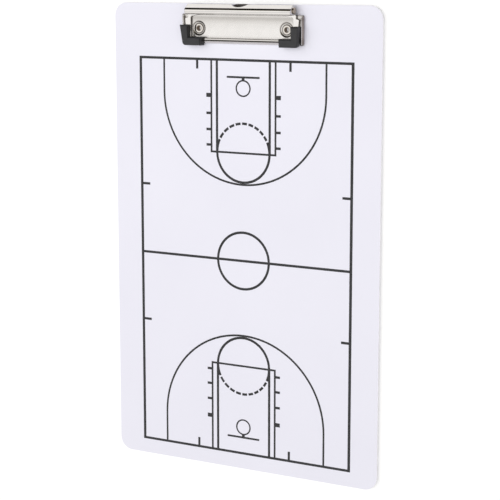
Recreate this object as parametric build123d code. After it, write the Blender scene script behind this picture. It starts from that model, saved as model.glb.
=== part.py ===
from build123d import *
import math
import os

# Basketball tactics board: a double sided writing board with a low sprung clip.
# X runs across the board, Y up the board towards the clip, Z out of its front face.
# The origin is under the middle of the board, at the level of the rivet tails.

# Board
board_width = 220.0
board_length = 350.0
board_corner_radius = 10.0
core_thickness = 2.0
film_thickness = 0.2
ink_thickness = 0.08

# Court lines shared by both sides, measured from the middle of the court
court_half_width = 87.7
court_half_length = 148.7
court_drop = 14.3
border_line = 1.5
thin_line = 1.1
centre_circle_radius = 21.4
lane_inner_half = 21.93
lane_outer_half = 26.65
free_throw_y = 80.6
free_throw_radius = 21.8
three_point_radius = 67.1
three_point_centre_y = 124.2
backboard_y = 136.25
backboard_width = 26.8
hoop_y = 128.15
hoop_radius = 5.68
hoop_line = 0.75
hoop_neck_width = 2.0
lane_mark_ys = (85.6, 97.1, 109.1)
lane_block_y = 122.4
lane_block_height = 2.7
lane_mark_reach = 4.1
base_tick_x = 38.6
base_tick_length = 7.0
side_tick_y = 52.9
side_tick_length = 7.0
dash_gap_count = 10
dash_gap_first = 26.0
dash_gap_pitch = 13.0
dash_gap_growth = 0.12
dash_gap_angle = 4.4
back_court_scale = 1.06

# Clip, placed by its hinge axis
hinge_from_top_edge = 4.3
hinge_height = 4.6
clip_sheet = 0.8

# Base plate of the clip
base_width = 100.2
base_raise = 0.6
base_wall_top = 3.4
base_wall_lean = 1.2
base_wall_ramp = 2.4
base_bend_radius = 0.5
base_corner_radius = 1.6
base_shoulder = 3.2
base_back = 2.5
base_front_gap = 0.4
base_toe_length = 2.0
base_toe_width = 3.5
ear_radius = 2.0
hem_inset = 4.0
neck_gap = 0.3

# Rivets and the dishes that they sit in
rivet_spacing = 72.2
rivet_from_hinge = 13.7
rivet_bore_radius = 1.7
rivet_barrel_radius = 2.2
rivet_flange_radius = 3.5
rivet_flange_thickness = 0.45
rivet_tail_height = 0.5
rivet_roll = 0.28
rivet_hole_clearance = 0.05
dish_rim_radius = 5.5
dish_floor_radius = 4.3

# Hinge pin
pin_radius = 1.1
pin_head_radius = 2.3
pin_head_thickness = 0.9
pin_running_clearance = 0.05
pin_head_gap = 0.1

# Clamp, drawn closed about the hinge axis, with its flat frame level
hood_shoulder_gap = 3.55
hood_front = 2.75
hood_front_lean = 0.4
hood_front_height = 5.0
hood_crown_back = 0.4
hood_crown_height = 5.35
hood_lip_back = 3.72
hood_lip_rise = 0.45
hood_bend_radius = 1.5
cheek_radius = 2.9
notch_width = 13.3
notch_depth = 3.4
plate_drop = 1.7
shoulder_width = 1.1
shoulder_depth = 5.8
shoulder_bend_radius = 0.6
arm_side_gap = 1.35
arm_top = 6.3
arm_taper = 1.6
arm_width = 3.0
window_slope_run = 9.15
window_slope_depth = 5.0
window_bottom = 20.8
window_top_corner = 1.5
window_bottom_corner = 1.5
jaw_crease = 22.3
jaw_lip_angle = 50.0
jaw_end_inset = 1.2
jaw_bend_radius = 0.8
jaw_gap = 0.15

# Corner grips and the upturned flange of the arm inside each
grip_heel_height = 4.35
grip_fall_angle = 6.7
grip_leg_top = 11.2
grip_side_wall = 2.3
grip_lower_wall = 0.8
grip_wall = 0.8
grip_front_wall = 1.4
grip_under = 0.5
grip_foot_length = 12.9
grip_rim_clearance = 0.2
grip_corner_radius = 2.4
grip_edge_radius = 1.2
flange_height = 3.4
flange_inset = 1.2

# Torsion springs
spring_wire = 0.7
spring_pin_clearance = 0.25
spring_turns = 6
spring_coil_gap = 0.45
spring_start_x = 22.0
spring_lower_leg_angle = 25.0
spring_seat_gap = 0.05

# Levels and places worked out from the sizes above
back_face_z = rivet_tail_height
core_z = back_face_z + film_thickness
front_film_z = core_z + core_thickness
front_face_z = front_film_z + film_thickness
hinge_y = board_length / 2 - hinge_from_top_edge
hinge_z = front_face_z + hinge_height
base_top = base_raise + clip_sheet
rivet_y = hinge_y - rivet_from_hinge
lip_angle = math.radians(jaw_lip_angle)
jaw_lip_end = jaw_gap + clip_sheet / 2 * math.cos(lip_angle) - hinge_height
jaw_end = jaw_crease - (plate_drop + jaw_lip_end) / math.tan(lip_angle)
jaw_front = jaw_end + clip_sheet / 2 * math.sin(lip_angle)
base_front = jaw_crease - base_front_gap + clip_sheet
arm_top_x = base_width / 2 - base_wall_lean - clip_sheet - arm_side_gap
arm_bottom_x = arm_top_x - arm_taper
window_half_width = arm_bottom_x - arm_width
window_slope_x = window_half_width - window_slope_run
hood_half_length = arm_top_x - hood_shoulder_gap
neck_width = 2 * (hood_half_length - clip_sheet - neck_gap)
arm_slope = arm_taper / (jaw_crease - arm_top)
jaw_half_length = arm_bottom_x - jaw_end_inset
grip_foot_end_x = arm_bottom_x - grip_foot_length
grip_front = jaw_front + grip_front_wall
grip_rim_level = base_wall_top + grip_rim_clearance - hinge_height
grip_bottom = -plate_drop - clip_sheet / 2 - grip_under


def bent_sheet(points, radius):
    """Section of a bent sheet, from the points of its middle line."""
    return trace(FilletPolyline(*points, radius=radius), line_width=clip_sheet)


def along_x(section, half_length):
    """Solid made by running a section of the YZ plane both ways along X."""
    return extrude(Plane.YZ * section, amount=half_length, both=True)


def place_on_hinge(shape):
    """Moves a shape drawn about the hinge axis to its place on the board."""
    return Pos(0, hinge_y, hinge_z) * shape


def mirrored(shape):
    """The shape and its mirror image across the middle of the board."""
    return shape + mirror(shape, about=Plane.YZ)


# Board and its two films


def board_layer(bottom_z, thickness):
    """One rounded layer of the board, with the two rivet holes."""
    outline = RectangleRounded(board_width, board_length, board_corner_radius)
    for side in (-1, 1):
        hole = Circle(rivet_barrel_radius + rivet_hole_clearance)
        outline -= Pos(side * rivet_spacing / 2, rivet_y) * hole
    return extrude(Pos(0, 0, bottom_z) * outline, amount=thickness)


# Court print


def line_ring(radius, width):
    """A circle drawn with a line of the given width."""
    return Circle(radius + width / 2) - Circle(radius - width / 2)


def band(x_low, x_high, y_low, y_high):
    """A rectangle between two X and two Y values."""
    return Pos((x_low + x_high) / 2, (y_low + y_high) / 2) * Rectangle(x_high - x_low, y_high - y_low)


def level_line(x_low, x_high, y, width):
    """A line across the court."""
    return band(x_low, x_high, y - width / 2, y + width / 2)


def upright_line(x, y_low, y_high, width):
    """A line along the court."""
    return band(x - width / 2, x + width / 2, y_low, y_high)


def free_throw_circle():
    """Free throw circle: whole on the midcourt side, dashed on the basket side."""
    ring = line_ring(free_throw_radius, border_line)
    reach = free_throw_radius + border_line
    for index in range(dash_gap_count):
        centre = dash_gap_first + dash_gap_pitch * index + dash_gap_growth * index**2
        low = math.radians(centre - dash_gap_angle / 2)
        high = math.radians(centre + dash_gap_angle / 2)
        corners = [(0, 0)] + [(reach * math.cos(a), reach * math.sin(a)) for a in (low, high)]
        ring -= make_face(Polyline(*corners, close=True))
    return Pos(0, free_throw_y) * ring


def three_point_line():
    """Arc round the basket with two straight runs to the baseline."""
    arc = line_ring(three_point_radius, thin_line)
    reach = three_point_radius + thin_line
    arc -= band(-reach, reach, 0, reach)
    line = Pos(0, three_point_centre_y) * arc
    run = upright_line(three_point_radius, three_point_centre_y, court_half_length, thin_line)
    return line + mirrored(run)


def basket():
    """Backboard, hoop and the short neck between them."""
    hoop = Pos(0, hoop_y) * line_ring(hoop_radius, hoop_line)
    neck = upright_line(0, hoop_y + hoop_radius, backboard_y, hoop_neck_width)
    board = level_line(-backboard_width / 2, backboard_width / 2, backboard_y, thin_line)
    return hoop + neck + board


def half_court():
    """Lines of one half of the court, with the basket towards +Y."""
    lines = three_point_line() + free_throw_circle() + basket()
    lines += level_line(-lane_outer_half, lane_outer_half, free_throw_y, thin_line)
    lines += mirrored(upright_line(lane_inner_half, free_throw_y, court_half_length, border_line))
    outer_low = free_throw_y - thin_line / 2
    lines += mirrored(upright_line(lane_outer_half, outer_low, court_half_length, thin_line))
    mark_end = lane_outer_half + lane_mark_reach
    for mark_y in lane_mark_ys:
        lines += mirrored(level_line(lane_outer_half, mark_end, mark_y, border_line))
    lines += mirrored(level_line(lane_outer_half, mark_end, lane_block_y, lane_block_height))
    tick_low = court_half_length - base_tick_length
    lines += mirrored(upright_line(base_tick_x, tick_low, court_half_length, border_line))
    side_low = court_half_width - side_tick_length
    lines += mirrored(level_line(side_low, court_half_width, side_tick_y, border_line))
    return lines


def court_border(y_low):
    """Border lines from y_low up to the baseline, the line at y_low included."""
    middle_y = (court_half_length + y_low) / 2
    width = 2 * court_half_width + border_line
    height = court_half_length - y_low + border_line
    outer = Rectangle(width, height)
    inner = Rectangle(width - 2 * border_line, height - 2 * border_line)
    return Pos(0, middle_y) * (outer - inner)


def front_print():
    """Full court on the front film."""
    upper = half_court()
    lines = upper + mirror(upper, about=Plane.XZ) + court_border(-court_half_length)
    lines += level_line(-court_half_width, court_half_width, 0, border_line)
    lines += line_ring(centre_circle_radius, border_line)
    return extrude(Pos(0, -court_drop, front_face_z) * lines, amount=ink_thickness)


def back_print():
    """One larger half court on the back film, with its basket towards the clip."""
    reach = centre_circle_radius + border_line
    centre_arc = line_ring(centre_circle_radius, border_line) - band(-reach, reach, -reach, 0)
    lines = scale(half_court() + court_border(0) + centre_arc, by=back_court_scale)
    drop = court_drop + court_half_length * back_court_scale / 2
    return extrude(Pos(0, -drop, back_face_z - ink_thickness) * lines, amount=ink_thickness)


# Base plate


def rivet_dish():
    """Round dish pressed down to the board, with the rivet hole in its floor."""
    hole = rivet_barrel_radius + rivet_hole_clearance
    section = Polyline(
        (hole, 0),
        (dish_floor_radius, 0),
        (dish_rim_radius, base_raise),
        (dish_rim_radius, base_top),
        (dish_floor_radius, clip_sheet),
        (hole, clip_sheet),
        close=True,
    )
    return revolve(Plane.XZ * make_face(section), Axis.Z)


def pin_ear():
    """Upright ear of the base plate that carries the pin, drawn about the hinge axis."""
    foot = band(-ear_radius, ear_radius, base_raise - hinge_height, 0)
    ear = Circle(ear_radius) + foot - Circle(pin_radius + pin_running_clearance)
    plate = extrude(Plane.YZ * ear, amount=clip_sheet)
    return Pos(neck_width / 2 - clip_sheet, 0, hinge_height) * plate


def base_tray():
    """Floor and leaning side walls of the base plate, with ramped wall ends."""
    wall_x = (base_width - clip_sheet) / 2
    floor_z = base_raise + clip_sheet / 2
    half_line = [(wall_x, floor_z), (wall_x - base_wall_lean, base_wall_top)]
    tray_line = [(-x, z) for x, z in reversed(half_line)] + half_line
    tray_end = base_front + base_toe_length
    tray_length = tray_end - base_shoulder
    tray = extrude(Plane.XZ * bent_sheet(tray_line, base_bend_radius), amount=tray_length)
    tray = Pos(0, -base_shoulder, 0) * tray
    plan = RectangleRounded(base_width, tray_length, base_corner_radius)
    tray &= extrude(Pos(0, -(base_shoulder + tray_end) / 2, 0) * plan, amount=base_wall_top + clip_sheet)
    top = base_wall_top + clip_sheet
    for end, way in ((-base_shoulder, -1), (-tray_end, 1)):
        ramp = Polyline((end, base_top), (end + way * base_wall_ramp, top), (end, top), close=True)
        tray -= along_x(make_face(ramp), base_width)
    gap_half_width = base_width / 2 - base_toe_width
    gap = band(-gap_half_width, gap_half_width, -tray_end - base_toe_length, -base_front)
    return tray - extrude(fillet(gap.vertices().group_by(Axis.Y)[-1], base_toe_length / 2), amount=base_top)


def base_plate():
    """Pressed sheet under the clamp, drawn from the hinge line and the board's face."""
    neck_length = base_back + base_shoulder
    neck = Box(neck_width, neck_length, clip_sheet, align=(Align.CENTER, Align.MAX, Align.MIN))
    hem = Box(neck_width - 2 * hem_inset, clip_sheet, base_raise, align=(Align.CENTER, Align.MAX, Align.MIN))
    plate = base_tray() + Pos(0, base_back, base_raise) * neck
    plate += Pos(0, base_back, 0) * hem
    plate += Pos(0, clip_sheet - base_front, 0) * hem
    plate += mirrored(pin_ear())
    for side in (-1, 1):
        place = Pos(side * rivet_spacing / 2, -rivet_from_hinge, 0)
        plate -= place * Cylinder(dish_rim_radius, 2 * base_top)
        plate += place * rivet_dish()
    return Pos(0, hinge_y, front_face_z) * plate


# Rivets and pin


def rivet():
    """Hollow eyelet: flange in the dish, barrel through the board, rolled tail behind it."""
    flange_z = front_face_z + clip_sheet
    length = flange_z + rivet_flange_thickness
    head = Cylinder(rivet_flange_radius, rivet_flange_thickness, align=(Align.CENTER, Align.CENTER, Align.MIN))
    tail = Cylinder(rivet_flange_radius, rivet_tail_height, align=(Align.CENTER, Align.CENTER, Align.MIN))
    barrel = Cylinder(rivet_barrel_radius, length, align=(Align.CENTER, Align.CENTER, Align.MIN))
    body = barrel + tail + Pos(0, 0, flange_z) * head
    body -= Cylinder(rivet_bore_radius, 3 * length)
    ends = body.edges().filter_by(GeomType.CIRCLE).group_by(Axis.Z)
    return fillet(ends[0] + ends[-1], rivet_roll)


def rivets():
    """The two eyelets."""
    eyelet = rivet()
    places = [Pos(side * rivet_spacing / 2, rivet_y, 0) for side in (-1, 1)]
    return Compound(children=[place * eyelet for place in places])


def hinge_pin():
    """Pin with a head at each end, outside the cheeks of the clamp."""
    half_length = hood_half_length + pin_head_gap + pin_head_thickness
    shaft = Rot(Y=90) * Cylinder(pin_radius, 2 * half_length)
    head = Cylinder(pin_head_radius, pin_head_thickness, align=(Align.CENTER, Align.CENTER, Align.MAX))
    head = fillet(head.edges().group_by(Axis.Z)[-1], pin_head_thickness / 2)
    pin = shaft + mirrored(Pos(half_length, 0, 0) * Rot(Y=90) * head)
    return Pos(0, hinge_y, hinge_z) * pin


# Clamp


def hood_line():
    """Middle line of the hood: front wall, crown and sloping lever, as (y, z) points."""
    foot = (-hood_front, -plate_drop - clip_sheet / 2)
    front = (-hood_front - hood_front_lean, hood_front_height)
    crown = (hood_crown_back, hood_crown_height)
    lip = (hood_lip_back, hood_lip_rise)
    return [foot, front, crown, lip]


def hang_notch():
    """Cutter for the shallow round notch in the free edge of the lever."""
    crown = Vector(0, hood_crown_back, hood_crown_height)
    lip = Vector(0, hood_lip_back, hood_lip_rise)
    down = (lip - crown).normalized()
    half_width = notch_width / 2
    radius = (half_width**2 + notch_depth**2) / (2 * notch_depth)
    across = Plane(origin=lip + down * (radius - notch_depth), x_dir=(1, 0, 0), z_dir=down.cross(Vector(1, 0, 0)))
    return across * Cylinder(radius, 4 * clip_sheet)


def cheek():
    """Side cheek of the hood, with the lobe that turns on the pin."""
    bends = FilletPolyline(*hood_line(), radius=hood_bend_radius)
    outline = make_face(Curve() + bends + Line(bends @ 1, bends @ 0))
    side = outline + Circle(cheek_radius) - Circle(pin_radius + pin_running_clearance)
    return Pos(hood_half_length - clip_sheet, 0, 0) * extrude(Plane.YZ * side, amount=clip_sheet)


def arm_edge_x(depth, inset):
    """X of the arm's outer edge at a depth below the hinge line, moved in by inset."""
    return arm_top_x - arm_slope * (depth - arm_top) - inset


def both_sides(points):
    """Closed face from the points of its right-hand side and their mirror images."""
    return make_face(Polyline(*points, *[(-x, y) for x, y in reversed(points)], close=True))


def clamp_plate():
    """Flat frame of the clamp: shoulders, two arms and the jaw bar round the window."""
    wall_back = hood_front - clip_sheet / 2
    window_top = hood_front + clip_sheet / 2
    bar_front = jaw_crease - jaw_bend_radius
    shoulder_x = hood_half_length + shoulder_width
    outline = both_sides(
        [
            (hood_half_length, -wall_back),
            (shoulder_x, -wall_back - shoulder_width),
            (shoulder_x, -shoulder_depth),
            (arm_top_x, -arm_top),
            (arm_edge_x(bar_front, 0), -bar_front),
        ]
    )
    steps = [v for v in outline.vertices() if -arm_top - 0.01 < v.Y < -shoulder_depth + 0.01]
    outline = fillet(steps, shoulder_bend_radius)
    window = both_sides(
        [
            (window_slope_x, -window_top),
            (window_half_width, -window_slope_depth),
            (window_half_width, -window_bottom),
        ]
    )
    rows = window.vertices().group_by(Axis.Y)
    window = fillet(rows[1], window_top_corner)
    window = fillet(window.vertices().group_by(Axis.Y)[0], window_bottom_corner)
    return extrude(Pos(0, 0, -plate_drop - clip_sheet / 2) * (outline - window), amount=clip_sheet)


def arm_flange():
    """Edge of an arm turned up inside its grip, to stiffen the corner."""
    high = grip_leg_top + flange_inset
    low = window_bottom
    points = [(arm_edge_x(depth, 0), -depth) for depth in (high, low)]
    points += [(arm_edge_x(depth, clip_sheet), -depth) for depth in (low, high)]
    strip = make_face(Polyline(*points, close=True))
    return extrude(Pos(0, 0, -plate_drop) * strip, amount=flange_height)


def clamp_frame():
    """One pressed sheet: hood lever, cheeks, arms and jaw."""
    frame = along_x(bent_sheet(hood_line(), hood_bend_radius), hood_half_length)
    frame += mirrored(cheek())
    frame -= hang_notch()
    frame += clamp_plate()
    frame += mirrored(arm_flange())
    bar_back = jaw_crease - jaw_bend_radius - clip_sheet
    jaw_line = [(-bar_back, -plate_drop), (-jaw_crease, -plate_drop), (-jaw_end, jaw_lip_end)]
    frame += along_x(bent_sheet(jaw_line, jaw_bend_radius), jaw_half_length)
    return frame


def grip_outline(side_wall):
    """Plan of a grip: a leg along the arm and a foot along the jaw bar."""
    foot_top = window_bottom - grip_wall
    outline = make_face(
        Polyline(
            (arm_edge_x(grip_leg_top, -side_wall), -grip_leg_top),
            (arm_edge_x(grip_front, -side_wall), -grip_front),
            (grip_foot_end_x, -grip_front),
            (grip_foot_end_x, -foot_top),
            (window_half_width, -foot_top),
            (window_half_width, -grip_leg_top),
            close=True,
        )
    )
    toe = outline.vertices().sort_by(Axis.Y)[:2].sort_by(Axis.X)[-1]
    return fillet(toe, grip_corner_radius)


def corner_grip(frame):
    """Black corner on one end of the jaw, moulded round the arm, its flange and the jaw bar."""
    fall = math.radians(grip_fall_angle)
    block = extrude(Pos(0, 0, grip_rim_level) * grip_outline(grip_side_wall), amount=2 * grip_heel_height)
    heel = (0, -grip_leg_top, grip_heel_height)
    top = Plane(origin=heel, x_dir=(1, 0, 0), z_dir=(0, -math.sin(fall), math.cos(fall)))
    block = split(block, bisect_by=top, keep=Keep.BOTTOM)
    block = fillet(block.faces().sort_by(Axis.Z)[-1].edges(), grip_edge_radius)
    lower = grip_outline(grip_lower_wall)
    block += extrude(Pos(0, 0, grip_bottom) * lower, amount=grip_rim_level - grip_bottom)
    rise = grip_bottom - jaw_lip_end
    lip_depth = jaw_end - rise / math.tan(lip_angle)
    skirt = make_face(
        Polyline(
            (-grip_front, jaw_lip_end),
            (-grip_front, grip_bottom),
            (-lip_depth, grip_bottom),
            (-jaw_end, jaw_lip_end),
            close=True,
        )
    )
    block += along_x(skirt, base_width) & extrude(Pos(0, 0, jaw_lip_end) * lower, amount=rise)
    return block - frame


# Springs


def tangent_arcs(start, start_way, end, end_way):
    """Two arcs that join two points and keep the direction at both."""
    gap = end - start
    ways = start_way + end_way
    spread = 2 * (1 - start_way.dot(end_way))
    reach = (math.sqrt(gap.dot(ways) ** 2 + spread * gap.dot(gap)) - gap.dot(ways)) / spread
    first = start + start_way * reach
    second = end - end_way * reach
    middle = (first + second) * 0.5
    return [TangentArc(start, middle, tangent=start_way), TangentArc(middle, end, tangent=second - first)]


def upper_leg_length(coil_radius):
    """Length of the leg that reaches from the top of the coil to the inside of the lever."""
    fall = (hood_crown_height - hood_lip_rise) / (hood_lip_back - hood_crown_back)
    lean = math.atan(fall)
    face_x = hood_crown_back + (hood_crown_height - coil_radius) / fall - clip_sheet / 2 / math.sin(lean)
    return face_x - spring_wire / 2 / fall - spring_seat_gap


def spring_route():
    """Points and directions of the left-hand end, the half turns and the right-hand end."""
    coil_radius = pin_radius + spring_pin_clearance + spring_wire / 2
    pitch = spring_wire + spring_coil_gap
    first_turn = spring_lower_leg_angle / 360
    last_turn = spring_turns + 0.5
    half_turns = round(2 * spring_turns) + 1
    stops = []
    for index in range(half_turns + 1):
        turn = first_turn + (last_turn - first_turn) * index / half_turns
        angle = 2 * math.pi * turn
        point = Vector(-pitch * turn, -coil_radius * math.sin(angle), -coil_radius * math.cos(angle))
        way = Vector(-pitch / (2 * math.pi), -coil_radius * math.cos(angle), coil_radius * math.sin(angle))
        stops.append((point, way.normalized()))
    return coil_radius, stops


def spring():
    """Torsion spring about the hinge axis, one unbroken wire with two straight legs."""
    coil_radius, stops = spring_route()
    start, start_way = stops[0]
    end, end_way = stops[-1]
    drop = hinge_height - base_top - spring_wire / 2 - spring_seat_gap
    lean = math.radians(spring_lower_leg_angle)
    lower_leg = (drop - coil_radius * math.cos(lean)) / math.sin(lean)
    edges = [Line(start - start_way * lower_leg, start)]
    for (low, low_way), (high, high_way) in zip(stops, stops[1:]):
        edges += tangent_arcs(low, low_way, high, high_way)
    edges.append(Line(end, end + end_way * upper_leg_length(coil_radius)))
    path = Wire(edges)
    section = Plane(origin=path @ 0, z_dir=path % 0) * Circle(spring_wire / 2)
    return sweep(section, path=path), path


def least_gap(path):
    """Least distance between wire surfaces of neighbouring turns, measured on points."""
    count = 900
    points = [path @ (index / count) for index in range(count + 1)]
    apart = int(count * 0.6 / (spring_turns + 1))
    best = min(
        (points[i] - points[j]).length
        for i in range(0, count + 1, 2)
        for j in range(i + apart, min(i + 3 * apart, count + 1))
    )
    return best - spring_wire


def springs():
    """Left and right springs, mirror images of each other."""
    coil, path = spring()
    print(f"spring wire: least gap between turns {least_gap(path):.2f} mm")
    left = Pos(-spring_start_x + (spring_turns + 0.5) * (spring_wire + spring_coil_gap), hinge_y, hinge_z) * coil
    return left, mirror(left, about=Plane.YZ)


# Parts

frame_level = clamp_frame()
grip_level = corner_grip(frame_level)
left_spring, right_spring = springs()

parts = {
    "board_core": board_layer(core_z, core_thickness),
    "front_writing_sheet": board_layer(front_film_z, film_thickness),
    "back_writing_sheet": board_layer(back_face_z, film_thickness),
    "front_court_print": front_print(),
    "back_court_print": back_print(),
    "base_plate": base_plate(),
    "rivets": rivets(),
    "hinge_pin": hinge_pin(),
    "clamp_frame": place_on_hinge(frame_level),
    "corner_grip_right": place_on_hinge(grip_level),
    "corner_grip_left": place_on_hinge(mirror(grip_level, about=Plane.YZ)),
    "spring_left": left_spring,
    "spring_right": right_spring,
}

os.makedirs("parts", exist_ok=True)
for name, shape in parts.items():
    export_step(shape, f"parts/{name}.step")
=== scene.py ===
import bmesh
import bpy
import math
from mathutils import Euler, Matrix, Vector


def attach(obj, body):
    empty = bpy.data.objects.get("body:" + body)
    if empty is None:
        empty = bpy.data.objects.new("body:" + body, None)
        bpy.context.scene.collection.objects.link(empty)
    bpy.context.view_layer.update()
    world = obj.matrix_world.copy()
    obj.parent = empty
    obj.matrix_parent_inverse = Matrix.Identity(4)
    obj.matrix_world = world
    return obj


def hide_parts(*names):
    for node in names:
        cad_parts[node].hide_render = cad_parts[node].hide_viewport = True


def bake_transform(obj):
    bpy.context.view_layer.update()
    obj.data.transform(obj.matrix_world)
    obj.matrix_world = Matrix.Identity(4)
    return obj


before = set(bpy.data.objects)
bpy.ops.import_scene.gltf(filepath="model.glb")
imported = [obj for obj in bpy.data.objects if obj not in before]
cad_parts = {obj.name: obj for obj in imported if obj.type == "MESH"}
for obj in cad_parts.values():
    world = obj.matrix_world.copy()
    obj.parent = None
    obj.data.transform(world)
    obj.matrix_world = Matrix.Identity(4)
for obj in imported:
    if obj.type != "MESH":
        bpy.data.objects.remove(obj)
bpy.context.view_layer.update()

# Board core
# The stiff middle of the board, a sheet of white polypropylene cut to a rounded outline.
# Only its edge shows, with the faint marks of the cutter running round it.

MM = 0.001
noise_low = 0.3
noise_high = 0.7
core_colour = (0.92, 0.92, 0.95)
core_shade = (0.88, 0.88, 0.91)
core_light = (0.95, 0.95, 0.975)
core_roughness = 0.42
cutter_mark_mm = 0.5
cutter_mark_stretch = (12, 12, 0.6)
cutter_mark_depth_mm = 0.04


def new_finish(name, colour, roughness, metallic=0.0):
    """A material with one shader, ready for its surface detail."""
    material = bpy.data.materials.new(name)
    material.use_nodes = True
    shader = material.node_tree.nodes["Principled BSDF"]
    shader.inputs["Base Color"].default_value = (*colour, 1)
    shader.inputs["Roughness"].default_value = roughness
    shader.inputs["Metallic"].default_value = metallic
    return material, shader


def surface_noise(material, cell_mm, stretch=(1, 1, 1), detail=3.0):
    """Noise fixed to the piece, with cells of about cell_mm, drawn out along an axis by stretch."""
    nodes, links = material.node_tree.nodes, material.node_tree.links
    place = nodes.new("ShaderNodeTexCoord")
    lay = nodes.new("ShaderNodeMapping")
    lay.inputs["Scale"].default_value = [1 / s for s in stretch]
    noise = nodes.new("ShaderNodeTexNoise")
    noise.inputs["Scale"].default_value = 1 / (cell_mm * MM)
    noise.inputs["Detail"].default_value = detail
    links.new(place.outputs["Object"], lay.inputs["Vector"])
    links.new(lay.outputs["Vector"], noise.inputs["Vector"])
    return noise.outputs["Fac"]


def spread(material, source, low, high, socket):
    """Drives a shader value from the middle of a noise, between low and high."""
    reach = material.node_tree.nodes.new("ShaderNodeMapRange")
    reach.inputs["From Min"].default_value = noise_low
    reach.inputs["From Max"].default_value = noise_high
    reach.inputs["To Min"].default_value = low
    reach.inputs["To Max"].default_value = high
    material.node_tree.links.new(source, reach.inputs["Value"])
    material.node_tree.links.new(reach.outputs["Result"], socket)


def tint(material, source, dark, light, socket):
    """Drives a colour from the middle of a noise, between dark and light."""
    ramp = material.node_tree.nodes.new("ShaderNodeValToRGB")
    ramp.color_ramp.elements[0].position = noise_low
    ramp.color_ramp.elements[0].color = (*dark, 1)
    ramp.color_ramp.elements[1].position = noise_high
    ramp.color_ramp.elements[1].color = (*light, 1)
    material.node_tree.links.new(source, ramp.inputs["Fac"])
    material.node_tree.links.new(ramp.outputs["Color"], socket)


def relief(material, shader, source, depth_mm, strength=1.0):
    """Adds a fine relief to the shader's normal, on top of any relief that it has."""
    nodes, links = material.node_tree.nodes, material.node_tree.links
    bump = nodes.new("ShaderNodeBump")
    bump.inputs["Strength"].default_value = strength
    bump.inputs["Distance"].default_value = depth_mm * MM
    links.new(source, bump.inputs["Height"])
    before = [link.from_socket for link in shader.inputs["Normal"].links]
    if before:
        links.new(before[0], bump.inputs["Normal"])
    links.new(bump.outputs["Normal"], shader.inputs["Normal"])


def dress(node, material):
    """Gives a CAD node its finish."""
    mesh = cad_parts[node].data
    mesh.materials.clear()
    mesh.materials.append(material)


core_white, shader = new_finish("core_white_plastic", core_colour, core_roughness)
cutter_marks = surface_noise(core_white, cutter_mark_mm, cutter_mark_stretch)
tint(core_white, cutter_marks, core_shade, core_light, shader.inputs["Base Color"])
relief(core_white, shader, cutter_marks, cutter_mark_depth_mm, 0.5)
dress("board_core", core_white)

# Writing films
# Smooth wipe-clean plastic film, laminated to both faces of the core with the same outline.
# It is a cool white, glossy, with the faint haze that a dry cloth leaves on it.

film_dark = (0.712, 0.708, 0.795)
film_light = (0.73, 0.726, 0.813)
film_roughness = 0.2
film_coat = 0.25
film_coat_roughness = 0.12
mottle_mm = 90
haze_mm = 30
haze_stretch = (2, 1, 1)
haze_roughness = (0.28, 0.31)
film_grain_mm = 0.35
film_grain_depth_mm = 0.004

wipe_film, shader = new_finish("wipe_clean_film", film_light, film_roughness)
shader.inputs["Coat Weight"].default_value = film_coat
shader.inputs["Coat Roughness"].default_value = film_coat_roughness
film_mottle = surface_noise(wipe_film, mottle_mm, detail=2)
tint(wipe_film, film_mottle, film_dark, film_light, shader.inputs["Base Color"])
wipe_haze = surface_noise(wipe_film, haze_mm, haze_stretch, detail=1)
spread(wipe_film, wipe_haze, *haze_roughness, shader.inputs["Roughness"])
relief(wipe_film, shader, surface_noise(wipe_film, film_grain_mm), film_grain_depth_mm, 0.2)
dress("back_writing_sheet", wipe_film)

# Court print
# The lines of the court, screen printed on the films in one dark charcoal ink.
# The ink has crept a little past the screen's edges, most at the two long side lines, and dries dull.

ink_creep = 0.18 * MM
side_line_extra = 1.8
side_line_inside = 86.5 * MM
weld_distance = 0.001 * MM
least_turn = 0.2
ink_colour = (0.034, 0.034, 0.036)
ink_dark = (0.026, 0.026, 0.028)
ink_light = (0.042, 0.042, 0.045)
ink_roughness = 0.5
ink_gloss = 0.22
ink_lay_mm = 1.4
ink_lay_roughness = (0.42, 0.6)
ink_grain_mm = 0.25
ink_grain_depth_mm = 0.006

court_ink, shader = new_finish("court_line_ink", ink_colour, ink_roughness)
shader.inputs["Specular IOR Level"].default_value = ink_gloss
ink_lay = surface_noise(court_ink, ink_lay_mm, detail=4)
tint(court_ink, ink_lay, ink_dark, ink_light, shader.inputs["Base Color"])
spread(court_ink, ink_lay, *ink_lay_roughness, shader.inputs["Roughness"])
relief(court_ink, shader, surface_noise(court_ink, ink_grain_mm), ink_grain_depth_mm, 0.4)


def crept_corner(normals):
    """How far a corner of a line moves, out of the middle of the ink, for its side normals."""
    first = normals[0]
    other = min(normals, key=first.dot)
    turn = first.x * other.y - first.y * other.x
    if abs(turn) < least_turn:
        return (first + other).normalized() * ink_creep
    x = ink_creep * (other.y - first.y) / turn
    y = ink_creep * (first.x - other.x) / turn
    return Vector((x, y, 0))


def crept_print(node, name):
    """The lines of a CAD print, each a little wider all round."""
    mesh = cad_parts[node].data.copy()
    mesh.name = name
    lines = bmesh.new()
    lines.from_mesh(mesh)
    bmesh.ops.remove_doubles(lines, verts=lines.verts, dist=weld_distance)
    lines.normal_update()
    moves = {}
    for corner in lines.verts:
        sides = [f.normal.copy() for f in corner.link_faces if abs(f.normal.z) < 0.5]
        if sides:
            moves[corner] = crept_corner(sides)
            if abs(corner.co.x) > side_line_inside:
                moves[corner].x *= side_line_extra
    for corner, move in moves.items():
        corner.co += move
    lines.to_mesh(mesh)
    lines.free()
    mesh.shade_flat()
    piece = bpy.data.objects.new(name, mesh)
    bpy.context.scene.collection.objects.link(piece)
    mesh.materials.clear()
    mesh.materials.append(court_ink)
    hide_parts(node)
    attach(piece, "board")


crept_print("front_court_print", "front_court_lines")
crept_print("back_court_print", "back_court_lines")

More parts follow.
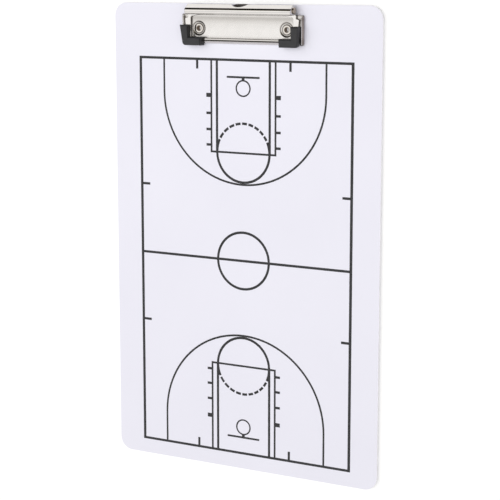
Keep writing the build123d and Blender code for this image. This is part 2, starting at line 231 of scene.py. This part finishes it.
# Clip base plate
# The lower pressing of the clip: thin nickel-plated steel, its sides turned up, with a dish for each rivet.
# It is finely polished along its length, with painted shade and painted reflections under the hood, in front
# of it, round the dishes, on the walls and under the jaw bar.

hinge_y = 170.7
rivet_x = 36.1
rivet_y = 157.0
plate_colour = (0.895, 0.873, 0.855)
plate_roughness = 0.26
plate_edge_mm = 0.2
cool_share = 0.96
# How dark the painted shade on the rounded edges is, and how far the edge must bend before it starts.
edge_shade_share = 0.15
edge_shade_bend = (0.97, 0.86)
polish_line_mm = 0.16
polish_stretch = (30, 1, 1)
polish_depth_mm = 0.0004
polish_share = (0.88, 1.16)
cloud_mm = 6
sheet_wave_mm = 9
sheet_wave_depth_mm = 0.02


def edge_shading(material, shader, radius_mm):
    """Rounds the sheared edges of a sheet in the shading, and gives a mask for the painted shade on them."""
    nodes, links = material.node_tree.nodes, material.node_tree.links
    edge = nodes.new("ShaderNodeBevel")
    edge.samples = 8
    edge.inputs["Radius"].default_value = radius_mm * MM
    links.new(edge.outputs["Normal"], shader.inputs["Normal"])
    face = nodes.new("ShaderNodeNewGeometry")
    turn = nodes.new("ShaderNodeVectorMath")
    turn.operation = "DOT_PRODUCT"
    links.new(edge.outputs["Normal"], turn.inputs[0])
    links.new(face.outputs["Normal"], turn.inputs[1])
    edge_shade = nodes.new("ShaderNodeMapRange")
    edge_shade.inputs["From Min"].default_value = edge_shade_bend[0]
    edge_shade.inputs["From Max"].default_value = edge_shade_bend[1]
    links.new(turn.outputs["Value"], edge_shade.inputs["Value"])
    return edge_shade.outputs["Result"]


def darken(material, shader, mask, colour):
    """Lays a darker colour over the base colour where the mask is 1."""
    nodes, links = material.node_tree.nodes, material.node_tree.links
    over = nodes.new("ShaderNodeMix")
    over.data_type = "RGBA"
    links.new(mask, over.inputs["Factor"])
    links.new(shader.inputs["Base Color"].links[0].from_socket, over.inputs["A"])
    over.inputs["B"].default_value = (*colour, 1)
    links.new(over.outputs["Result"], shader.inputs["Base Color"])


def paint_light_bands(material, shader, distance, stops, mask=None):
    """Multiplies the base colour by painted light and shade laid along a distance, all over or where the mask
    is 1.

    A stop is a distance in mm and a brightness, which leans a little to warm, or a colour.
    """
    nodes, links = material.node_tree.nodes, material.node_tree.links
    first, last = stops[0][0], stops[-1][0]
    reach = nodes.new("ShaderNodeMapRange")
    reach.inputs["From Min"].default_value = first * MM
    reach.inputs["From Max"].default_value = last * MM
    links.new(distance, reach.inputs["Value"])
    ramp = nodes.new("ShaderNodeValToRGB")
    links.new(reach.outputs["Result"], ramp.inputs["Fac"])
    points = ramp.color_ramp.elements
    for place, tone in stops[1:-1]:
        points.new((place - first) / (last - first))
    for point, (place, tone) in zip(points, stops):
        point.color = (*tone, 1) if isinstance(tone, tuple) else (tone, tone**1.04, tone**1.09, 1)
    over = nodes.new("ShaderNodeMix")
    over.data_type = "RGBA"
    over.blend_type = "MULTIPLY"
    over.inputs["Factor"].default_value = 1
    if mask:
        links.new(mask, over.inputs["Factor"])
    links.new(shader.inputs["Base Color"].links[0].from_socket, over.inputs["A"])
    links.new(ramp.outputs["Color"], over.inputs["B"])
    links.new(over.outputs["Result"], shader.inputs["Base Color"])


def piece_place(material):
    """X, Y and Z fixed to the piece, in metres."""
    nodes, links = material.node_tree.nodes, material.node_tree.links
    place = nodes.new("ShaderNodeTexCoord")
    parts = nodes.new("ShaderNodeSeparateXYZ")
    links.new(place.outputs["Object"], parts.inputs["Vector"])
    return parts.outputs


def from_middle(material):
    """Distance from the plane down the middle of the board."""
    side = material.node_tree.nodes.new("ShaderNodeMath")
    side.operation = "ABSOLUTE"
    material.node_tree.links.new(piece_place(material)["X"], side.inputs[0])
    return side.outputs["Value"]


def from_rivet(material):
    """Distance from the axis of the nearer rivet."""
    nodes, links = material.node_tree.nodes, material.node_tree.links
    flat = nodes.new("ShaderNodeCombineXYZ")
    links.new(from_middle(material), flat.inputs["X"])
    links.new(piece_place(material)["Y"], flat.inputs["Y"])
    gap = nodes.new("ShaderNodeVectorMath")
    gap.operation = "DISTANCE"
    links.new(flat.outputs["Vector"], gap.inputs[0])
    gap.inputs[1].default_value = (rivet_x * MM, rivet_y * MM, 0)
    return gap.outputs["Value"]


def before_hinge(stops):
    """Stops counted from the hinge towards the jaw, as stops along Y."""
    return tuple((hinge_y - depth, tone) for depth, tone in reversed(stops))


def nickel(name, colour, roughness, edge_mm):
    """Bright nickel plating on pressed steel, polished along X, with painted shade on its edges."""
    material, shader = new_finish(name, colour, roughness, 1.0)
    edge_shade = edge_shading(material, shader, edge_mm)
    polish = surface_noise(material, polish_line_mm, polish_stretch, detail=4)
    clouds = surface_noise(material, cloud_mm)
    cool = tuple(c * cool_share for c in colour)
    tint(material, clouds, cool, colour, shader.inputs["Base Color"])
    # Painted shade: the rounded edges are darkened in the base colour, standing in for the dark room that they
    # mirror.
    darken(material, shader, edge_shade, tuple(c * edge_shade_share for c in colour))
    low, high = (roughness * share for share in polish_share)
    spread(material, polish, low, high, shader.inputs["Roughness"])
    relief(material, shader, surface_noise(material, sheet_wave_mm, detail=1), sheet_wave_depth_mm, 0.2)
    relief(material, shader, polish, polish_depth_mm, 0.2)
    return material, shader


# Painted shade along the plate, counted from the hinge: dark under the hood, a bright line, shade in front of
# the hood's wall that fades out over the floor, and darker again under the jaw bar.
under_hood = ((-0.3, 0.05), (0.6, 0.3), (1.8, 0.3), (2.6, 0.45), (4.0, 0.6))
floor_behind_window = ((4.4, 0.9), (5.2, 0.67), (5.9, 0.63), (6.7, 0.67), (8.1, 0.8), (10.4, 0.92))
floor_in_window = ((15, 1.0), (18.6, 1.0))
floor_at_jaw = ((20.2, 0.88), (21, 0.7), (25, 0.8))
plate_painted_shade = before_hinge(under_hood + floor_behind_window + floor_in_window + floor_at_jaw)
# Painted reflections round each rivet: dark rings and bright steps in the dish.
dish_middle = ((0, 0.5), (3.3, 0.5), (3.5, 0.22), (3.9, 0.3))
dish_slope = ((4.2, 0.9), (4.6, 0.9), (4.85, 0.3), (5.25, 0.3))
dish_rim = ((5.6, 0.85), (6.2, 1.0))
# Painted dark reflection on the outer faces of the turned-up walls.
wall_painted_reflection = ((48.4, 1.0), (48.95, 1.0), (49.15, (0.42, 0.38, 0.355)), (50.2, (0.36, 0.32, 0.3)))

plate_nickel, shader = nickel("base_plate_nickel", plate_colour, plate_roughness, plate_edge_mm)
paint_light_bands(plate_nickel, shader, piece_place(plate_nickel)["Y"], plate_painted_shade)
paint_light_bands(plate_nickel, shader, from_rivet(plate_nickel), dish_middle + dish_slope + dish_rim)
paint_light_bands(plate_nickel, shader, from_middle(plate_nickel), wall_painted_reflection)
dress("base_plate", plate_nickel)

# Painted shadow under the lever
# Where the middle of the lever's edge stands over the film, a painted shadow darkens the film under it.
# It is in the colour of the front film, which is otherwise the same as the back one.

lever_shadow_y = hinge_y + 2.95
lever_shadow_flatness = 0.16
lever_shadow_tones = ((0, (0.06, 0.05, 0.04)), (7.4, (0.075, 0.06, 0.045)), (9.4, (1.0, 1.0, 1.0)))

shadowed_film = wipe_film.copy()
shadowed_film.name = "wipe_clean_film_painted_shadow"
shader = shadowed_film.node_tree.nodes["Principled BSDF"]
nodes, links = shadowed_film.node_tree.nodes, shadowed_film.node_tree.links
flatten = nodes.new("ShaderNodeMapping")
flatten.inputs["Location"].default_value = (0, -lever_shadow_y * MM / lever_shadow_flatness, 0)
flatten.inputs["Scale"].default_value = (1, 1 / lever_shadow_flatness, 0)
place = nodes.new("ShaderNodeTexCoord")
links.new(place.outputs["Object"], flatten.inputs["Vector"])
from_spot = nodes.new("ShaderNodeVectorMath")
from_spot.operation = "LENGTH"
links.new(flatten.outputs["Vector"], from_spot.inputs[0])
# Painted shadow: the film darkens towards the spot under the lever's edge.
paint_light_bands(shadowed_film, shader, from_spot.outputs["Value"], lever_shadow_tones)
dress("front_writing_sheet", shadowed_film)

# Eyelet rivets
# Two hollow steel eyelets that hold the clip to the board, set from the front and rolled over behind.
# They are plated like the plate, with a painted bright ring and painted dark rings on the flange, and a brown
# painted shade in the bore.

rivet_colour = (0.82, 0.79, 0.76)
rivet_roughness = 0.1
rivet_edge_mm = 0.3
# Painted shade in the bore, then a painted highlight ring and painted dark rings across the flange.
bore_painted_shade = ((0, (0.1, 0.065, 0.04)), (1.85, (0.16, 0.11, 0.075)))
flange_painted_light = ((2.15, (0.8, 0.76, 0.7)), (2.9, (1, 1, 1)), (3.2, (0.5, 0.47, 0.44)), (3.6, (0.2, 0.18, 0.16)))

rivet_nickel, shader = nickel("rivet_nickel", rivet_colour, rivet_roughness, rivet_edge_mm)
paint_light_bands(rivet_nickel, shader, from_rivet(rivet_nickel), bore_painted_shade + flange_painted_light)
dress("rivets", rivet_nickel)

# Clamp
# One pressed sheet of nickel-plated steel: the hood that is the finger lever, two arms and the jaw bar.
# It turns on the hinge pin, and it is the brightest of the clip, with painted dark reflections along its two
# bends and painted bands of shade on the hood and the lever.

clamp_colour = (0.86, 0.835, 0.815)
clamp_roughness = 0.08
clamp_edge_mm = 0.36
hood_level = 11.5
# Painted reflections and shade, counted from the hinge: a dark line at the window's edge, a dark crease, a lip
# that lightens away from it, a dark band at the hood's bend, light and dark streaks on the crown, and a
# slightly darker lever.
jaw_window_side = ((20.5, 1.0), (20.7, 0.35), (21.1, 0.4), (21.3, 0.88), (21.8, 0.85))
jaw_crease = ((21.95, 0.04), (22.65, 0.04))
jaw_lip = ((22.8, 0.6), (23.3, 0.74), (24.0, 0.9), (24.9, 1.0))
hood_bend = ((-1.5, 1.0), (-1.4, 0.9), (-1.3, 0.08), (-0.55, 0.08), (-0.35, 0.5))
hood_crown = ((0.2, 0.95), (0.7, 1.0), (1.0, 0.8), (1.5, 0.78), (1.8, 1.0), (2.6, 1.0))
lever_painted_shade = ((171.9, 1.0), (172.1, 0.88), (175.0, 0.9))

clamp_nickel, shader = nickel("clamp_nickel", clamp_colour, clamp_roughness, clamp_edge_mm)
x, y, z = piece_place(clamp_nickel)
on_hood = clamp_nickel.node_tree.nodes.new("ShaderNodeMath")
on_hood.operation = "GREATER_THAN"
clamp_nickel.node_tree.links.new(z, on_hood.inputs[0])
on_hood.inputs[1].default_value = hood_level * MM
# Lay in the painted reflections and shade on the jaw, the hood and the lever.
paint_light_bands(clamp_nickel, shader, y, before_hinge(jaw_window_side + jaw_crease + jaw_lip))
paint_light_bands(clamp_nickel, shader, y, before_hinge(hood_bend + hood_crown), on_hood.outputs["Value"])
paint_light_bands(clamp_nickel, shader, y, lever_painted_shade)
dress("clamp_frame", clamp_nickel)

# Corner grips
# Soft black vinyl corners, dip moulded round both ends of the jaw so that the sheet steel can't scratch.
# They have a fine satin grain, with faint lighter clouds in the black.

grip_colour = (0.034, 0.034, 0.038)
grip_dark = (0.015, 0.015, 0.017)
grip_light = (0.025, 0.025, 0.028)
grip_roughness = 0.46
grip_cloud_roughness = (0.4, 0.56)
grip_grain_mm = 0.32
grip_grain_depth_mm = 0.02
grip_cloud_mm = 4

grip_vinyl, shader = new_finish("grip_black_vinyl", grip_colour, grip_roughness)
vinyl_grain = surface_noise(grip_vinyl, grip_grain_mm)
vinyl_clouds = surface_noise(grip_vinyl, grip_cloud_mm)
tint(grip_vinyl, vinyl_clouds, grip_dark, grip_light, shader.inputs["Base Color"])
spread(grip_vinyl, vinyl_clouds, *grip_cloud_roughness, shader.inputs["Roughness"])
relief(grip_vinyl, shader, vinyl_grain, grip_grain_depth_mm, 0.45)
dress("corner_grip_left", grip_vinyl)
dress("corner_grip_right", grip_vinyl)

# Hinge pin
# A plain turned steel pin with a head at each end, through the cheeks of the hood and the plate's ears.
# It is nickel plated like the rest, and browner, because no hand or cloth polishes it.

pin_colour = (0.42, 0.36, 0.30)
pin_roughness = 0.22
pin_edge_mm = 0.3

pin_nickel, shader = nickel("pin_nickel", pin_colour, pin_roughness, pin_edge_mm)
dress("hinge_pin", pin_nickel)

# Torsion springs
# Two springs of round steel wire, wound round the pin inside the hood, mirror images of each other.
# The lower leg stands on the base plate and the upper one pushes the lever, so the coil winds up as it opens.

hinge_z = 7.5
hinge = Vector((0, hinge_y, hinge_z)) * MM
coil_radius = 1.7 * MM
wire_radius = 0.35 * MM
coil_pitch = 1.15 * MM
coil_turns = 6.5
first_turn = 25 / 360
coil_inner_x = 14.525 * MM
lower_leg = 2.8 * MM
upper_leg = 1.95 * MM
leg_steps = 4
steps_per_turn = 28
wire_sides = 12
cut_end_length = 0.35
cut_end_share = 0.7
wire_colour = (0.42, 0.42, 0.43)
wire_dark = (0.34, 0.34, 0.35)
wire_light = (0.5, 0.5, 0.51)
wire_roughness = 0.3
drawn_roughness = (0.22, 0.4)
drawn_mark_mm = 0.2


def coil_point(turn):
    """A point of the left-hand spring's middle line, counted from the turn at its inner end."""
    angle = 2 * math.pi * turn
    across = Vector((-coil_inner_x - coil_pitch * turn, 0, 0))
    return hinge + across + coil_radius * Vector((0, -math.sin(angle), -math.cos(angle)))


def spring_line():
    """The wire's middle line: lower leg, coil, upper leg."""
    wound = coil_turns - first_turn
    count = round(wound * steps_per_turn)
    coil = [coil_point(first_turn + wound * i / count) for i in range(count + 1)]
    lower_way = (coil[0] - coil[1]).normalized()
    upper_way = (coil[-1] - coil[-2]).normalized()
    foot = [coil[0] + lower_way * lower_leg * k / leg_steps for k in range(leg_steps, 0, -1)]
    finger = [coil[-1] + upper_way * upper_leg * k / leg_steps for k in range(1, leg_steps + 1)]
    return foot + coil + finger


def wire_tube(name, line):
    """The wire along a line of points: a smooth closed tube with eased ends."""
    ways = []
    for i in range(len(line)):
        before, after = line[max(i - 1, 0)], line[min(i + 1, len(line) - 1)]
        ways.append((after - before).normalized())
    side = ways[0].orthogonal().normalized()
    rings = []
    for point, way in zip(line, ways):
        side = (side - way * side.dot(way)).normalized()
        rings.append((point, way, side, wire_radius))
    ease = wire_radius * cut_end_length
    for end, out, (point, way, side, radius) in ((0, -1, rings[0]), (len(rings) + 1, 1, rings[-1])):
        rings.insert(end, (point + out * way * ease, way, side, radius * cut_end_share))
    verts, faces = [], []
    for point, way, side, radius in rings:
        up = way.cross(side)
        for k in range(wire_sides):
            angle = 2 * math.pi * k / wire_sides
            verts.append(point + radius * (side * math.cos(angle) + up * math.sin(angle)))
    for start in range(0, len(verts) - wire_sides, wire_sides):
        for k in range(wire_sides):
            a, b = start + k, start + (k + 1) % wire_sides
            faces.append((a, b, b + wire_sides, a + wire_sides))
    faces.append(tuple(reversed(range(wire_sides))))
    faces.append(tuple(range(len(verts) - wire_sides, len(verts))))
    mesh = bpy.data.meshes.new(name)
    mesh.from_pydata(verts, [], faces)
    mesh.shade_smooth()
    piece = bpy.data.objects.new(name, mesh)
    bpy.context.scene.collection.objects.link(piece)
    return piece


spring_steel, shader = new_finish("spring_wire_steel", wire_colour, wire_roughness, 1.0)
drawn_marks = surface_noise(spring_steel, drawn_mark_mm, detail=4)
spread(spring_steel, drawn_marks, *drawn_roughness, shader.inputs["Roughness"])
tint(spring_steel, drawn_marks, wire_dark, wire_light, shader.inputs["Base Color"])

for hand, side in (("left", 1), ("right", -1)):
    line = [Vector((side * p.x, p.y, p.z)) for p in spring_line()]
    spring = wire_tube(f"torsion_spring_{hand}", line)
    if side < 0:
        spring.data.flip_normals()
    spring.data.materials.append(spring_steel)
    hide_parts(f"spring_{hand}")
    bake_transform(spring)

# Floor and light
# A plain white table top, a little lit from inside so that shadows stay pale, between two softboxes.
# The far end of the room is dark to the plated steel, whose bends mirror it. To the camera all is white.

floor_half = 4.0
floor_colour = (0.62, 0.62, 0.62)
floor_roughness = 0.9
floor_inner_light = 0.36

floor_mesh = bpy.data.meshes.new("studio_floor")
corners = [(-floor_half, -floor_half, 0), (floor_half, -floor_half, 0)]
corners += [(floor_half, floor_half, 0), (-floor_half, floor_half, 0)]
floor_mesh.from_pydata(corners, [], [(0, 1, 2, 3)])
floor = bpy.data.objects.new("studio_floor", floor_mesh)
bpy.context.scene.collection.objects.link(floor)
floor_white, shader = new_finish("floor_white", floor_colour, floor_roughness)
shader.inputs["Specular IOR Level"].default_value = 0.0
shader.inputs["Emission Color"].default_value = (1, 1, 1, 1)
shader.inputs["Emission Strength"].default_value = floor_inner_light
floor_mesh.materials.append(floor_white)

ceiling_tone = (1.04, 1.035, 1.025)
tones_up = ((0, (0.55, 0.54, 0.525)), (0.4, (0.62, 0.61, 0.59)), (0.7, (0.92, 0.9, 0.88)))
tones_up += ((0.8, ceiling_tone), (1, ceiling_tone))
near_end = ((0, (1, 1, 1)), (0.12, (1, 1, 1)), (0.3, (0.5, 0.48, 0.4)), (0.42, (0.2, 0.18, 0.12)))
far_end = ((0.55, (0.025, 0.022, 0.019)), (0.85, (0.03, 0.028, 0.026)), (1, (0.07, 0.068, 0.065)))

world = bpy.data.worlds.new("studio_room")
bpy.context.scene.world = world
world.use_nodes = True
room_nodes, room_links = world.node_tree.nodes, world.node_tree.links
look = room_nodes.new("ShaderNodeTexCoord")
split = room_nodes.new("ShaderNodeSeparateXYZ")
room_links.new(look.outputs["Generated"], split.inputs["Vector"])


def room_tone(direction, stops):
    """Colour of the room along one direction, from stops between 0 and 1."""
    reach = room_nodes.new("ShaderNodeMapRange")
    room_links.new(direction, reach.inputs["Value"])
    tones = room_nodes.new("ShaderNodeValToRGB")
    room_links.new(reach.outputs["Result"], tones.inputs["Fac"])
    points = tones.color_ramp.elements
    for place, colour in stops[1:-1]:
        points.new(place)
    for point, (place, colour) in zip(points, stops):
        point.color = (*colour, 1)
    return tones.outputs["Color"]


walls = room_nodes.new("ShaderNodeMix")
walls.data_type = "RGBA"
walls.blend_type = "MULTIPLY"
walls.inputs["Factor"].default_value = 1
room_links.new(room_tone(split.outputs["Z"], tones_up), walls.inputs["A"])
room_links.new(room_tone(split.outputs["Y"], near_end + far_end), walls.inputs["B"])
dark_room = room_nodes["Background"]
room_links.new(walls.outputs["Result"], dark_room.inputs["Color"])
dark_room.inputs["Strength"].default_value = 1.0
backdrop = room_nodes.new("ShaderNodeBackground")
backdrop.inputs["Color"].default_value = (1, 1, 1, 1)
seen = room_nodes.new("ShaderNodeLightPath")
either = room_nodes.new("ShaderNodeMixShader")
room_links.new(seen.outputs["Is Camera Ray"], either.inputs["Fac"])
room_links.new(dark_room.outputs["Background"], either.inputs[1])
room_links.new(backdrop.outputs["Background"], either.inputs[2])
room_links.new(either.outputs["Shader"], room_nodes["World Output"].inputs["Surface"])

softbox_size = 2.6
key_place = (-1.0, 0.7, 2.0)
key_power = 34
fill_place = (0.9, 0.2, 2.2)
fill_power = 13.5


def softbox(name, place, power):
    """A square area light aimed at the middle of the board."""
    light = bpy.data.lights.new(name, "AREA")
    light.shape = "SQUARE"
    light.size = softbox_size
    light.energy = power
    lamp = bpy.data.objects.new(name, light)
    lamp.location = place
    lamp.rotation_euler = (-Vector(place)).to_track_quat("-Z", "Y").to_euler()
    lamp.visible_glossy = False
    bpy.context.scene.collection.objects.link(lamp)


softbox("key_softbox", key_place, key_power)
softbox("fill_softbox", fill_place, fill_power)

# Camera
# Above the board and to its right, looking down across it with a long lens.

camera_place = (0.53239, 0.20164, 0.98639)
camera_tilt = (-9.582, 28.17, -0.006)

camera_data = bpy.data.cameras.new("camera")
camera_data.sensor_width = 36
camera_data.lens = 110.28
camera_data.shift_y = -0.05
camera_data.clip_start = 0.05
camera_data.clip_end = 30
camera = bpy.data.objects.new("camera", camera_data)
camera.location = camera_place
camera.rotation_euler = Euler([math.radians(a) for a in camera_tilt])
bpy.context.scene.collection.objects.link(camera)
bpy.context.scene.camera = camera
bpy.context.scene.view_settings.view_transform = "Standard"
